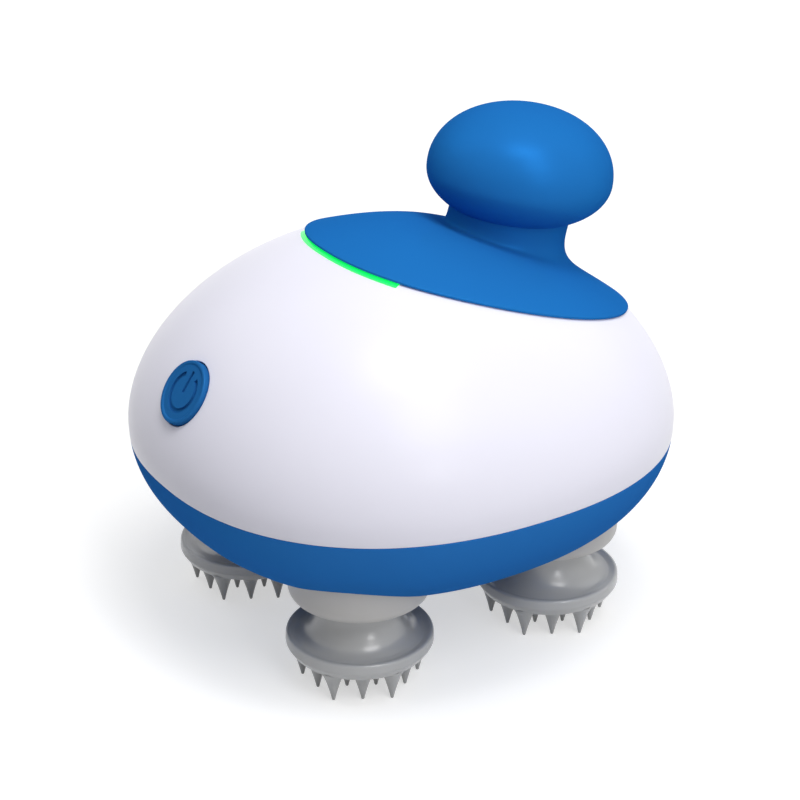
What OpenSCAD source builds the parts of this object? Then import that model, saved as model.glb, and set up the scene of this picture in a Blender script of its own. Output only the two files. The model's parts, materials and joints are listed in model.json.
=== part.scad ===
// Electric scalp massager: a domed body on four turning silicone heads, with a knob on its crown.
// +X is the back, the power button is at the front (-X), and the prong tips stand on z = 0.
// The origin is the middle of the body's plan, on the plane of the prong tips.

/* [Body] */
// Length of the body, front to back
body_len = 124; // [120:1:128]
// Width of the body
body_wid = 116.6; // [113:0.2:120]
// Height of the body's widest ring above the prong tips
waist_z = 48.8; // [48:0.2:50]
// Rise of the dome above the widest ring
dome_h = 45; // [43:0.5:47]
// Depth of the belly's full curve below the widest ring
belly_h = 33.9; // [33:0.1:36]
// Fullness of the dome's profile, 2 is an ellipse
dome_exp = 1.82; // [1.7:0.02:2]
// Fullness of the belly's profile
belly_exp = 2.19; // [2:0.01:2.4]
// Fullness of the plan, 2 is an ellipse
plan_exp = 2.26; // [2.1:0.02:2.4]
// Height of the joint between the white shell and the blue housing
split_z = 45.5; // [45:0.1:46.5]
// Height of the flat under the belly
base_z = 22.5; // [22.5:0.1:23]
// Wall of the mouldings
wall = 2.4; // [2:0.1:2.8]

/* [Cap and knob] */
// Height of the cap's seam over the origin
seam_z = 85.7; // [84:0.1:87]
// Slope of the seam, down towards the back
seam_tilt = 16.2; // [14:0.1:18]
// Place of the neck along the seam plane
neck_u = 26.7; // [25:0.1:28]
// Radius of the neck
neck_r = 13.9; // [13:0.1:15]
// Height on the neck at which its foot starts to spread
neck_h = 12.9; // [12:0.1:14]
// Height of the knob's centre over the seam plane
knob_h = 23.2; // [22.5:0.1:24]
// Radius of the knob
knob_r = 21.5; // [20.5:0.5:22.5]
// Height of the knob above its widest ring
knob_top = 15.7; // [15:0.1:17]
// Depth of the knob below its widest ring
knob_low = 11.8; // [11:0.1:12.5]
// Lean of the knob, towards the back
knob_tilt = 6.6; // [5:0.1:9]

/* [Power button] */
// Height of the button's centre
button_z = 66.5; // [66:0.5:68]
// Angle of the button's face from upright
button_tilt = 34.8; // [34:0.1:37]
// Radius of the button
button_r = 7.3; // [6.8:0.05:7.4]
// Travel of the button
button_travel = 0.6; // [0.4:0.1:0.8]

/* [Light] */
// Half angle of the light strip about the neck
light_angle = 26; // [20:1:30]
// Height of the light strip
light_h = 1.3; // [1:0.1:1.6]

/* [Massage heads] */
// Distance between neighbouring head axes
head_pitch = 51.62; // fixed by the gears: 73 teeth at module 1
// Place of the middle of the four heads
heads_x = -1.5; // [-2:0.5:0]
// Radius of a head's disc
disc_r = 16.5; // [16:0.1:16.8]
// Height of a prong
prong_h = 7.4; // [7:0.1:7.8]
// Distance between prongs
prong_pitch = 6.5; // [6.3:0.1:6.6]
// Turn of the prong rows at rest
head_turn = 1.8; // [0:0.1:60]
// Radius of a collar
collar_r = 16; // [15.6:0.1:16.2]

/* [Gears] */
// Module of the head gears
head_mod = 1; // fixed
// Module of the motor stage
motor_mod = 0.8; // fixed
// Teeth of the sun gear
sun_teeth = 41; // fixed
// Teeth of a head gear
head_teeth = 32; // fixed
// Teeth of the reduction gear's pinion
drive_teeth = 12; // fixed
// Teeth of the reduction gear's wheel
wheel_teeth = 40; // fixed
// Teeth of the motor pinion
motor_teeth = 10; // fixed
// Play between meshing teeth
backlash = 0.24; // [0.16:0.02:0.3]

/* [Hidden] */

blue = "#2270c1";
dark_blue = "#1e5a9c";
grey = "#a0a2a6";
columns = 72;

// Levels of the works, from the bottom up
boss_top_z = 33;
flange_t = 1.6;
flange_r = 17.8;
deck_z = boss_top_z + flange_t;
deck_t = 2.4;
gear_z = 38;
gear_t = 5;
sun_t = 9;
wheel_z = 48;
wheel_t = 3.5;
plate_z = 52;
plate_t = 2.4;
shaft_r = 2.5;
pin_r = 1.5;
running = 0.05;
light_gap = 0.1;

// Plan of the works
head_axes = [for (sx = [-1, 1], sy = [-1, 1]) [heads_x + sx * head_pitch / 2, sy * head_pitch / 2]];
sun_axis = [heads_x, 0];
drive_gap = head_mod * (sun_teeth + drive_teeth) / 2;
reduction_axis = [heads_x + drive_gap, 0];
motor_gap = motor_mod * (wheel_teeth + motor_teeth) / 2;
motor_dir = 150;
motor_axis = reduction_axis + motor_gap * [cos(motor_dir), sin(motor_dir)];
post_axes = [[heads_x - 34.5, 0], [47, 0], [heads_x, -38.5], [heads_x, 38.5]];
pillar_axes = [for (x = [-44, 52], y = [-10, 10]) [x, y]];
post_r = 3.6;
screw_seat_z = 36;
// Crossed ribs on the housing's floor
rib_t = 1.6;
rib_h = 7;

// ---------- surface of the body ----------

function spow(v, e) = sign(v) * pow(abs(v), e);

// Point at angle t of the plan's outline, drawn in by inset and scaled by r
function ring_xy(t, r, inset) = [
  (body_len / 2 - inset) * r * spow(cos(t), 2 / plan_exp),
  (body_wid / 2 - inset) * r * spow(sin(t), 2 / plan_exp)];

// The side profile runs over an angle s: above 0 on the dome, below 0 on the belly
function profile_r(s) = pow(cos(s), 2 / (s >= 0 ? dome_exp : belly_exp));
function profile_z(s, inset) = s >= 0
  ? waist_z + (dome_h - inset) * pow(sin(s), 2 / dome_exp)
  : waist_z - (belly_h - inset) * pow(sin(-s), 2 / belly_exp);
function profile_s(z, inset) = z >= waist_z
  ? asin(pow((z - waist_z) / (dome_h - inset), dome_exp / 2))
  : -asin(pow((waist_z - z) / (belly_h - inset), belly_exp / 2));
function body_pt(t, s, inset) = let (p = ring_xy(t, profile_r(s), inset))
  [p[0], p[1], profile_z(s, inset)];
function body_ring(s, inset) = [for (i = [0 : columns - 1]) body_pt(360 * i / columns, s, inset)];
function body_outline(z, inset) = [for (p = body_ring(profile_s(z, inset), inset)) [p[0], p[1]]];

// Angle s at which the column at t meets the seam plane
function over_seam(p) = p[2] - seam_z + p[0] * tan(seam_tilt);
function seam_s(t, lo = 0, hi = 89, n = 24) = n == 0
  ? (lo + hi) / 2
  : over_seam(body_pt(t, (lo + hi) / 2, 0)) < 0
    ? seam_s(t, (lo + hi) / 2, hi, n - 1)
    : seam_s(t, lo, (lo + hi) / 2, n - 1);

// ---------- the seam plane, seen from the neck's axis ----------

// World place of a point rho from the neck's axis, in direction phi, h over the seam plane
function seam_pt(rho, phi, h) = let (u = neck_u + rho * cos(phi)) [
  u * cos(seam_tilt) + h * sin(seam_tilt),
  rho * sin(phi),
  seam_z - u * sin(seam_tilt) + h * cos(seam_tilt)];
function level_r(z, inset) = let (
  h = (z >= waist_z ? dome_h : belly_h) - inset,
  e = z >= waist_z ? dome_exp : belly_exp)
  pow(max(0, 1 - pow(min(1, abs(z - waist_z) / h), e)), 1 / e);
function is_outside(p, inset) = let (r = level_r(p[2], inset)) r <= 0
  || pow(abs(p[0]) / ((body_len / 2 - inset) * r), plan_exp)
   + pow(abs(p[1]) / ((body_wid / 2 - inset) * r), plan_exp) > 1;
// Distance from the neck's axis to the body's surface, along phi at height h
function reach(phi, h, inset, lo = 0, hi = 90, n = 24) = n == 0
  ? lo
  : is_outside(seam_pt((lo + hi) / 2, phi, h), inset)
    ? reach(phi, h, inset, lo, (lo + hi) / 2, n - 1)
    : reach(phi, h, inset, (lo + hi) / 2, hi, n - 1);
module seam_frame() translate([0, 0, seam_z]) rotate([0, seam_tilt, 0]) children();
module knob_frame() seam_frame() translate([neck_u, 0, knob_h]) rotate([0, knob_tilt - seam_tilt, 0])
  children();

// ---------- general shapes ----------

// Closed solid through a stack of rings, lowest first, each anticlockwise from above
module loft(rings) {
  n = len(rings[0]);
  last = len(rings) - 1;
  sides = [for (j = [0 : last - 1], i = [0 : n - 1])
    let (a = j * n + i, b = j * n + (i + 1) % n)
    each [[a, a + n, b], [b, a + n, b + n]]];
  foot = [for (i = [0 : n - 1]) i];
  head = [for (i = [n - 1 : -1 : 0]) last * n + i];
  polyhedron([for (r = rings) each r], concat([foot], sides, [head]), convexity = 8);
}

module at(p, z = 0) translate([p[0], p[1], z]) children();
module rod(r, h, z = 0) translate([0, 0, z]) cylinder(r = r, h = h, $fn = 64);
module tube(r_out, r_in, h, z = 0) translate([0, 0, z]) rotate_extrude($fn = 64)
  polygon([[r_in, 0], [r_out, 0], [r_out, h], [r_in, h]]);

// ---------- gears ----------

pressure = 25;
function involute_angle(r, base) = r <= base ? 0
  : let (a = acos(base / r)) tan(a) * 180 / PI - a;
// Half the angle of a tooth at radius r
function tooth_half(r, teeth, m) = let (
  pitch = m * teeth / 2,
  base = pitch * cos(pressure))
  90 / teeth - backlash / 4 / pitch * 180 / PI
  + involute_angle(pitch, base) - involute_angle(r, base);
function gear_outline(teeth, m) = let (
  pitch = m * teeth / 2,
  root = pitch - 1.15 * m,
  radii = [pitch - 0.75 * m, pitch, pitch + 0.8 * m])
  [for (k = [0 : teeth - 1]) let (a = 360 * k / teeth) each concat(
    [let (h = tooth_half(radii[0], teeth, m)) root * [cos(a - h), sin(a - h)]],
    [for (r = radii) let (h = tooth_half(r, teeth, m)) r * [cos(a - h), sin(a - h)]],
    [for (j = [2, 1, 0]) let (h = tooth_half(radii[j], teeth, m))
      radii[j] * [cos(a + h), sin(a + h)]],
    [let (h = tooth_half(radii[0], teeth, m)) root * [cos(a + h), sin(a + h)]])];
module teeth_ring(teeth, m, h, turn) rotate(turn) linear_extrude(h) polygon(gear_outline(teeth, m));
// Turn that puts a gear in mesh with another, which lies in direction dir from it
function mesh_turn(dir, other_teeth, other_turn, teeth) =
  dir + 180 + (dir - other_turn) * other_teeth / teeth + 180 / teeth;
drive_turn = mesh_turn(0, sun_teeth, 0, drive_teeth);
motor_turn = mesh_turn(motor_dir, wheel_teeth, drive_turn, motor_teeth);
function head_dir(i) = atan2(head_axes[i][1] - sun_axis[1], head_axes[i][0] - sun_axis[0]);

// ---------- casing ----------

button_x = -(body_len / 2) * level_r(button_z, 0);
flange_z = -wall - 3.05;
plunger_z = flange_z - 2.5;
board_z = plunger_z - 6;
board_t = 1.6;
board_post_x = 12.4;
small_screw_r = 0.9;
button_gap = 0.25;
// Frame of the button: its centre on the shell, +Z outwards along its travel
module button_frame() translate([button_x, 0, button_z]) rotate([0, button_tilt - 90, 0]) children();
port_z = 60.5;
port_x = body_len / 2 * level_r(port_z, 0);
port_r = 3.6;
// Frame of the charging port at the back, +Z outwards
module port_frame() translate([port_x, 0, port_z]) rotate([0, 90, 0]) children();

module outer_body(s_low) {
  steps = 14;
  loft([for (j = [0 : steps]) [for (i = [0 : columns - 1])
    let (t = 360 * i / columns) body_pt(t, s_low + (seam_s(t) - s_low) * j / steps, 0)]]);
}

module inner_body(z_low) {
  steps = 14;
  s_low = profile_s(z_low, wall);
  loft([for (j = [0 : steps]) body_ring(s_low + (88 - s_low) * j / steps, wall)]);
}

// Cutter for the light strip's notch in the shell's upper edge
notch_in = 16;
module light_notch() seam_frame() translate([neck_u, 0, -light_h - light_gap])
  rotate(180 - light_angle - light_gap * 2) rotate_extrude(angle = 2 * light_angle + light_gap * 4, $fn = 96)
    translate([reach(180, 0, 0) - notch_in, 0]) square([notch_in * 2, light_h + 2]);

// Tongue of the shell that drops inside the housing and keeps the halves in line
tongue_h = 2.2;
tongue_gap = 0.15;
tongue_t = 1;
module shell_tongue() {
  translate([0, 0, split_z - tongue_h]) linear_extrude(tongue_h + 0.3) difference() {
    polygon(body_outline(split_z - tongue_h, wall + tongue_gap));
    polygon(body_outline(split_z - tongue_h, wall + tongue_gap + tongue_t));
  }
  translate([0, 0, split_z + 0.3]) linear_extrude(1.5) difference() {
    polygon(body_outline(split_z, wall - 0.6));
    polygon(body_outline(split_z - tongue_h, wall + tongue_gap + tongue_t));
  }
}

screw_pilot = 1.1;
module upper_shell() color("white") {
  shell_tongue();
  shell_body();
}
module shell_body() difference() {
  outer_body(profile_s(split_z, 0));
  difference() {
    inner_body(split_z - 3);
    for (p = pillar_axes) at(p) rod(post_r, 60, split_z + 0.5);
    button_frame() {
      rod(button_r + 2.6, 12, -wall - 3);
      for (x = [-board_post_x, board_post_x]) translate([x, 0, 0]) rod(1.8, 20, board_z + board_t);
    }
    port_frame() rod(port_r + 2, 12, -wall - 2.5);
  }
  for (p = pillar_axes) at(p) rod(screw_pilot, 14, split_z);
  button_frame() {
    rod(button_r + button_gap, 20, -wall - 6);
    for (x = [-board_post_x, board_post_x]) translate([x, 0, 0]) rod(small_screw_r, 6, board_z);
  }
  port_frame() rod(port_r, 12, -wall - 4);
  light_notch();
}

module lower_housing() color(blue) difference() {
  loft([for (j = [0 : 8]) let (s0 = profile_s(base_z, 0), s1 = profile_s(split_z, 0))
    body_ring(s0 + (s1 - s0) * j / 8, 0)]);
  difference() {
    loft([for (j = [0 : 8])
      let (s0 = profile_s(base_z + wall, wall), s1 = profile_s(split_z + 1, wall))
      body_ring(s0 + (s1 - s0) * j / 8, wall)]);
    for (p = head_axes) at(p) rod(collar_r + 2.6, boss_top_z - base_z, base_z);
    for (p = post_axes) at(p) rod(post_r, deck_z - base_z, base_z);
    for (p = pillar_axes) at(p) rod(post_r, split_z - base_z, base_z);
    translate([-60, -rib_t / 2, base_z]) cube([120, rib_t, rib_h]);
    translate([heads_x - rib_t / 2, -60, base_z]) cube([rib_t, 120, rib_h]);
  }
  for (p = head_axes) at(p) {
    rod(collar_r + 0.1, 40, 0);
    rod(flange_r + 0.1, 5, boss_top_z);
  }
  for (p = post_axes) at(p) rod(screw_pilot, 20, base_z + wall);
  for (p = pillar_axes) at(p) {
    rod(1.5, 60, 0);
    rod(2.8, screw_seat_z, 0);
  }
  gasket_ring(0);
}

gasket_in = 0.75;
gasket_w = 0.9;
gasket_h = 1;
module gasket_ring(gap) translate([0, 0, split_z - gasket_h]) linear_extrude(gasket_h + gap)
  difference() {
    polygon(body_outline(split_z, gasket_in));
    polygon(body_outline(split_z, gasket_in + gasket_w));
  }
module housing_gasket() color("dimgray") gasket_ring(0);

// ---------- cap and knob ----------

cap_steps = 12;
// The rim stands a little proud of the shell, and is this thick
rim_out = 0.8;
rim_h = 0.5;
// The cap's foot is a cubic curve from the neck down to the seam, in each direction phi
function foot_pt(phi, k, inset) = let (
  front = (1 - cos(phi)) / 2,
  rise = 8.5 + 1.9 * front,
  run = 11 + 25 * front,
  slope = 21.5 + 4.3 * front,
  edge = reach(phi, 0, 0) + (inset > 0 ? -1.5 * inset : rim_out),
  lift = inset > 0 ? 0 : rim_h,
  r = neck_r - inset,
  p = [[r, neck_h - 0.5 * inset], [r, neck_h - rise - 0.7 * inset],
       [edge - run * cos(slope), lift + run * sin(slope) - 0.9 * inset], [edge, lift]],
  q = 1 - k)
  q * q * q * p[0] + 3 * q * q * k * p[1] + 3 * q * k * k * p[2] + k * k * k * p[3];
function foot_ring(k, inset, drop = 0) = [for (i = [0 : columns - 1])
  let (phi = 360 * i / columns, p = foot_pt(phi, k, inset))
  [neck_u + p[0] * cos(phi), p[0] * sin(phi), p[1] - drop]];
function neck_ring(r, h) = [for (i = [0 : columns - 1]) let (phi = 360 * i / columns)
  [neck_u + r * cos(phi), r * sin(phi), h]];
function rim_ring(h) = [for (i = [0 : columns - 1]) let (phi = 360 * i / columns,
  e = reach(phi, 0, 0) + rim_out - 0.15) [neck_u + e * cos(phi), e * sin(phi), h]];
neck_end = 18.5;

module top_cap() color(blue) seam_frame() {
  difference() {
    loft(concat([rim_ring(0)], [for (j = [cap_steps : -1 : 0]) foot_ring(j / cap_steps, 0)],
      [neck_ring(neck_r, neck_end)]));
    loft(concat([foot_ring(1, wall, 1)], [for (j = [cap_steps - 1 : -1 : 0])
      foot_ring(j / cap_steps, wall)], [neck_ring(neck_r - wall, neck_end - 2.5)]));
    translate([neck_u, 0, 0]) rod(1.7, 30);
  }
  translate([0, 0, -lip_h]) linear_extrude(lip_h + 1.6) difference() {
    polygon(lip_outline(lip_in));
    polygon(lip_outline(lip_in + lip_t));
  }
  for (phi = hook_angles) translate([neck_u, 0, 0]) rotate(phi) {
    from = reach(phi, 0, 0) - lip_in - 0.8;
    to = reach(phi, -hook_top, wall) - 0.4;
    translate([from, -3, -hook_top - 0.9]) cube([to - from, 6, 0.9]);
  }
  // Brackets that carry the light board
  for (y = [-7, 7]) translate([neck_u - reach(180, 0, 0), y - 1, -light_h - 3]) {
    translate([3.6, 0, 0]) cube([lip_in + lip_t - 4.2, 2, 1]);
    translate([lip_in + 0.4, 0, 0]) cube([0.8, 2, 2.6]);
  }
}
// The lip drops inside the shell's mouth, and its hooks catch under the wall
lip_h = 2.5;
lip_in = 5.4;
lip_t = 1.4;
hook_top = 1.5;
hook_angles = [-140, -90, -40, 0, 40, 90, 140];
function lip_outline(inset) = [for (i = [0 : columns - 1]) let (phi = 360 * i / columns,
  e = reach(phi, 0, 0) - inset) [neck_u + e * cos(phi), e * sin(phi)]];

knob_exp = 2.1;
knob_steps = 28;
function knob_profile(inset) = [for (k = [0 : knob_steps]) let (
  a = 90 - 180 * k / knob_steps,
  h = (a > 0 ? knob_top : knob_low) - inset)
  [max(0, (knob_r - inset) * pow(max(0, cos(a)), 2 / knob_exp)), h * spow(sin(a), 2 / knob_exp)]];
module handle_knob() color(blue) difference() {
  knob_frame() rotate_extrude($fn = 96) polygon(knob_profile(0));
  difference() {
    knob_frame() rotate_extrude($fn = 96) polygon(knob_profile(2.6));
    seam_frame() translate([neck_u, 0, 0]) rod(4.5, 30, neck_end);
  }
  seam_frame() translate([neck_u, 0, 0]) {
    rod(neck_r + 0.02, neck_end, 0);
    rod(1.3, 12, neck_end);
  }
}
module knob_screw() color("silver") seam_frame() translate([neck_u, 0, neck_end - 2.5]) {
  rod(1.3, 12.5);
  rod(2.8, 1.6, -1.6);
}

// ---------- light ----------

guide_arcs = 16;
guide_w = 5;
// The guide follows the shell's skin round the neck, as a stack of upright sections
module light_guide() color("lime") loft([for (k = [0 : guide_arcs])
  let (phi = 180 + (2 * k / guide_arcs - 1) * light_angle, out = reach(phi, 0, 0))
  [seam_pt(out - guide_w, phi, -light_h), seam_pt(out - guide_w, phi, 0), seam_pt(out, phi, 0),
   seam_pt(reach(phi, -light_h, 0), phi, -light_h)]]);
// Frame of the light board, under the inner edge of the light guide
module light_frame() seam_frame()
  translate([neck_u - reach(180, 0, 0) + 2.2, 0, -light_h - 2]) children();
module light_board() color("darkgreen") light_frame() translate([0, -9, 0]) cube([3.2, 18, 1]);
module green_leds() color("palegreen") light_frame() for (y = [-6.5, 0, 6.5])
  translate([abs(y) / 8 + 0.3, y - 1.4, 1]) cube([2, 2.8, 0.9]);

// ---------- power button ----------

button_proud = 0.7;
module power_button() color(blue) button_frame() difference() {
  union() {
    rotate_extrude($fn = 96) polygon([[0, flange_z - 1], [button_r + 1.4, flange_z - 1],
      [button_r + 1.4, flange_z], [button_r, flange_z], [button_r, button_proud - 0.4],
      [button_r - 0.4, button_proud], [button_r - 1.1, button_proud],
      [button_r - 1.8, button_proud - 0.5], [0, button_proud - 0.5]]);
    rod(2, 1.5, flange_z - 2.5);
  }
  symbol(button_proud - 1);
}
// Open ring and bar of a power sign, cut into the button's face
module symbol(z) {
  translate([0, 0, z]) rotate(-90) {
    rotate([0, 0, 30]) rotate_extrude(angle = 300, $fn = 64) translate([3.85, 0]) square([0.75, 2]);
    translate([0.4, -0.36, 0]) cube([4.3, 0.72, 2]);
  }
}
module switch_plunger() color("black") button_frame() rod(1.5, 1.6, plunger_z - 1.6);
module tact_switch() color("dimgray") button_frame() {
  top = plunger_z - button_travel - 0.4;
  difference() {
    translate([-3, -3, board_z + board_t]) cube([6, 6, top - board_z - board_t]);
    rod(1.5 + running, 8, plunger_z - 1.6 - button_travel - 0.4);
  }
}
module button_board() color("darkgreen") button_frame() difference() {
  translate([-14.6, -6, board_z]) cube([29.2, 12, board_t]);
  for (x = [-board_post_x, board_post_x]) translate([x, 0, 0]) rod(small_screw_r + 0.1, 4, board_z - 1);
}

// ---------- gear train ----------

module plan_disc(z, inset, h) translate([0, 0, z]) linear_extrude(h)
  polygon(body_outline(z, inset));

hub_r = 6;
hub_z = 30.5;
bush_r = 4;
module gear_deck() color("ivory") difference() {
  union() {
    plan_disc(deck_z, wall + 0.8, deck_t);
    for (p = head_axes) at(p) rod(hub_r, deck_z - hub_z, hub_z);
    for (p = post_axes) at(p) rod(post_r, plate_z - deck_z, deck_z);
    at(sun_axis) rod(5, 6, deck_z - 4);
    at(reduction_axis) rod(4, 43 - deck_z, deck_z);
  }
  for (p = head_axes) at(p) rod(bush_r, 20, hub_z - 1);
  for (p = post_axes) at(p) rod(1.4, 30, deck_z - 1);
  for (p = pillar_axes) at(p) rod(post_r + 0.4, 10, deck_z - 1);
  at(sun_axis) rod(shaft_r, 20, deck_z - 3);
  at(reduction_axis) rod(pin_r, 20, deck_z + 1);
}

module shaft_bushes() color("peru") for (p = head_axes) at(p) {
  tube(bush_r, shaft_r + running, 37 - hub_z, hub_z);
  tube(bush_r + 1.2, shaft_r + running, 0.8, 37);
}

module sun_axle() color("silver") at(sun_axis) rod(shaft_r, 50.2 - deck_z + 3, deck_z - 3);
module reduction_axle() color("silver") at(reduction_axis) rod(pin_r, plate_z - deck_z, deck_z + 1);

module sun_gear() color("white") at(sun_axis) difference() {
  union() {
    translate([0, 0, gear_z]) teeth_ring(sun_teeth, head_mod, sun_t, 0);
    rod(5, 10.2, 37.2);
  }
  rod(shaft_r + running, 20, 36);
  difference() {
    rod(17, 4, 44.5);
    rod(5, 4, 44.5);
  }
  for (k = [0 : 5]) rotate(60 * k + 30) translate([11, 0, 0]) rod(3.4, 20, 36);
}

module reduction_gear() color("ivory") at(reduction_axis) difference() {
  union() {
    translate([0, 0, 43.5]) teeth_ring(drive_teeth, head_mod, wheel_z - 43.5, drive_turn);
    translate([0, 0, wheel_z]) teeth_ring(wheel_teeth, motor_mod, wheel_t, drive_turn);
  }
  rod(pin_r + running, 20, 43);
  for (k = [0 : 4]) rotate(72 * k) translate([10.6, 0, 0]) rod(2.8, 20, 47);
}

module motor_pinion() color("goldenrod") at(motor_axis) {
  difference() {
    translate([0, 0, wheel_z]) teeth_ring(motor_teeth, motor_mod, wheel_t, motor_turn);
    rod(1, 20, 47);
  }
  rod(1, 14, wheel_z);
}

motor_r = 12;
motor_h = 25;
module drive_motor() color("silver") at(motor_axis) difference() {
  rotate_extrude($fn = 96) polygon([[0, 54.4], [motor_r - 0.8, 54.4], [motor_r, 55.2],
    [motor_r, 53.6 + motor_h], [motor_r - 0.8, 54.4 + motor_h], [3.2, 54.4 + motor_h],
    [3.2, 56 + motor_h], [0, 56 + motor_h]]);
  rod(1 + running, wheel_z + 14.2, 0);
  for (d = motor_screw_dirs) at(8 * [cos(d), sin(d)]) rod(small_screw_r, 4, 54);
}
motor_screw_dirs = [motor_dir - 90, motor_dir + 90];
module motor_screws() color("silver") at(motor_axis)
  for (d = motor_screw_dirs) at(8 * [cos(d), sin(d)], plate_z) {
    rod(small_screw_r, plate_t + 3);
    rod(1.7, 1, -1);
  }

module motor_plate() color("ivory") difference() {
  union() {
    plan_disc(plate_z, wall + 1.2, plate_t);
    translate([port_x - wall - 13.5, -4.5, plate_z + plate_t])
      cube([11, 9, port_z - 3.6 - plate_z - plate_t]);
    for (p = board_post_axes) at(p) rod(2.6, main_board_z - plate_z, plate_z);
  }
  for (p = board_post_axes) at(p) rod(small_screw_r, 10, main_board_z - 5);
  for (p = post_axes) at(p) {
    rod(1.4, 10, plate_z - 1);
    rod(2.8, 10, plate_z + plate_t);
  }
  for (p = pillar_axes) at(p) rod(post_r + 0.5, 10, plate_z - 1);
  at(reduction_axis) rod(pin_r, 2, plate_z - 1);
  at(motor_axis) {
    rod(5.5, 10, plate_z - 1);
    for (d = motor_screw_dirs) at(8 * [cos(d), sin(d)]) rod(small_screw_r + 0.1, 10, plate_z - 1);
  }
  translate([-70, -6.2, plate_z - 1]) cube([24, 12.4, 10]);
}

module gearbox_screws() color("silver") for (p = post_axes) at(p) {
  rod(1.1, 30, 26);
  rod(1.4, plate_z + plate_t - deck_z, deck_z);
  rod(2.6, 1.8, plate_z + plate_t);
}
module housing_screws() color("silver") for (p = pillar_axes) at(p) {
  rod(1.4, split_z - screw_seat_z, screw_seat_z);
  rod(screw_pilot, 12, split_z);
  rod(2.5, 1.8, screw_seat_z - 1.8);
}

// ---------- battery and electronics ----------

cell_r = 9.1;
main_board_z = plate_z + plate_t + 4;
cell_len = 65;
cell_y = -25;
cell_z = plate_z + plate_t + 1.6 + cell_r;
module battery_cradle() color("dimgray") difference() {
  translate([-36, cell_y - 10.2, plate_z + plate_t]) cube([72, 20.4, 12.5]);
  translate([-cell_len / 2 - 0.3, cell_y, cell_z]) rotate([0, 90, 0])
    cylinder(r = cell_r + 0.1, h = cell_len + 0.6, $fn = 96);
  translate([-20, cell_y - 12, plate_z + plate_t + 4]) cube([40, 24, 12]);
}
module battery_cell() color("royalblue") translate([-cell_len / 2, cell_y, cell_z]) rotate([0, 90, 0])
  rotate_extrude($fn = 96) polygon([[0, 0], [cell_r - 0.5, 0], [cell_r, 0.5], [cell_r, cell_len - 2.5],
    [cell_r - 0.5, cell_len - 2], [4, cell_len - 2], [4, cell_len], [0, cell_len]]);

module main_board() color("darkgreen") difference() {
  translate([-24, 26, main_board_z]) cube([48, 16, board_t]);
  for (p = board_post_axes) at(p) rod(small_screw_r + 0.1, 4, main_board_z - 1);
}
board_post_axes = [[-21, 34], [21, 34]];
// One small screw, head down on z = 0, shank upwards
module small_screw() {
  rod(small_screw_r, board_t + 4, 0);
  rod(1.7, 1.1, -1.1);
}
module board_screws() color("silver") {
  button_frame() for (x = [-board_post_x, board_post_x]) translate([x, 0, board_z]) small_screw();
  for (p = board_post_axes) at(p, main_board_z + board_t) mirror([0, 0, 1]) small_screw();
}

module charge_socket() color("black") port_frame() difference() {
  translate([-3.6, -4.5, -wall - 2.5 - 11]) cube([7.2, 9, 11]);
  rod(1.75, 9, -wall - 2.5 - 9);
}
// The plug's face follows the slope of the shell, with a nick under its lower edge to lift it by
port_slope = atan((level_r(port_z - 1, 0) - level_r(port_z + 1, 0)) * body_len / 4);
module port_plug() color("white") port_frame() difference() {
  union() {
    rod(port_r - 0.1, wall + 4.4, -wall - 2.4);
    rod(1.6, 3, -wall - 5);
  }
  rotate([0, -port_slope, 0]) {
    translate([-10, -10, -0.05]) cube([20, 20, 10]);
    translate([port_r, 0, 0]) sphere(r = 1, $fn = 32);
  }
}

// ---------- massage heads ----------

neck_in_r = 6.2;
module head_collar(p) color(grey) at(p) rotate_extrude($fn = 96) polygon(concat(
  [[flange_r, deck_z], [flange_r, boss_top_z], [collar_r, boss_top_z], [collar_r, 24.2]],
  [for (a = [15 : 15 : 90]) [collar_r - 3 + 3 * cos(a), 24.2 - 3 * sin(a)]],
  [for (a = [270 : -45 : 90]) [10.4 + 0.7 * cos(a), 21.9 + 0.7 * sin(a)]],
  [[12.8, 22.8], [14.2, 24.4], [14.2, 26], [5.6, 26], [5.6, 26.6], [7.2, 26.6], [7.2, 29.8],
   [8.6, 29.8], [8.6, 27.6],
   [14.2, 27.6], [14.2, deck_z]]));

module shaft_seals() color("black") for (p = head_axes) at(p) rotate_extrude($fn = 64)
  polygon([[7.2, 26.6], [7.2, 29.6], [6.4, 29.6], [5, 28], [2.7, 29.6], [2.56, 28.8], [4.4, 26.6]]);

// One blunt prong, tip down on z = 0
module prong() rotate_extrude($fn = 32) polygon([[0, 0], [0.2, 0], [0.38, 0.3], [0.5, 0.9], [0.98, 2.8],
  [1.7, 5.4], [2.1, prong_h], [2.1, prong_h + 0.3], [0, prong_h + 0.3]]);

// The disc is dished on top: a narrow crest at its edge, then a hollow sweep up into the stem
module massage_head(p) color(grey) at(p) rotate(head_turn) {
  difference() {
    rotate_extrude($fn = 96) polygon([
      [0, prong_h], [disc_r - 1.7, prong_h], [disc_r - 1.15, prong_h + 0.2], [disc_r - 0.9, prong_h + 0.7],
      [disc_r - 0.05, 10.7], [disc_r, 11.1], [disc_r - 0.15, 11.4], [disc_r - 0.5, 11.5],
      [14.9, 11.3], [13.6, 11.2], [12.3, 11.5], [11.1, 12.15], [10.1, 13.2], [9.3, 14.7], [8.8, 16.6],
      [8.6, 18.6], [8.6, 23.6], [8.2, 24.2], [0, 24.2]]);
    rod(neck_in_r, 20, 12);
  }
  for (row = [-2 : 2], k = [0 : 4 - abs(row)])
    translate([row * sqrt(3) / 2 * prong_pitch, (k - 2 + abs(row) / 2) * prong_pitch, 0]) prong();
}

module head_carrier(p) color("dimgray") at(p) difference() {
  union() {
    rod(neck_in_r, 12.4, 12);
    rod(8.2, 1.4, 24.2);
  }
  rod(shaft_r, 20, 13.5);
}

module output_shaft(p) color("silver") at(p) rod(shaft_r, 30.6, 13.5);

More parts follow.
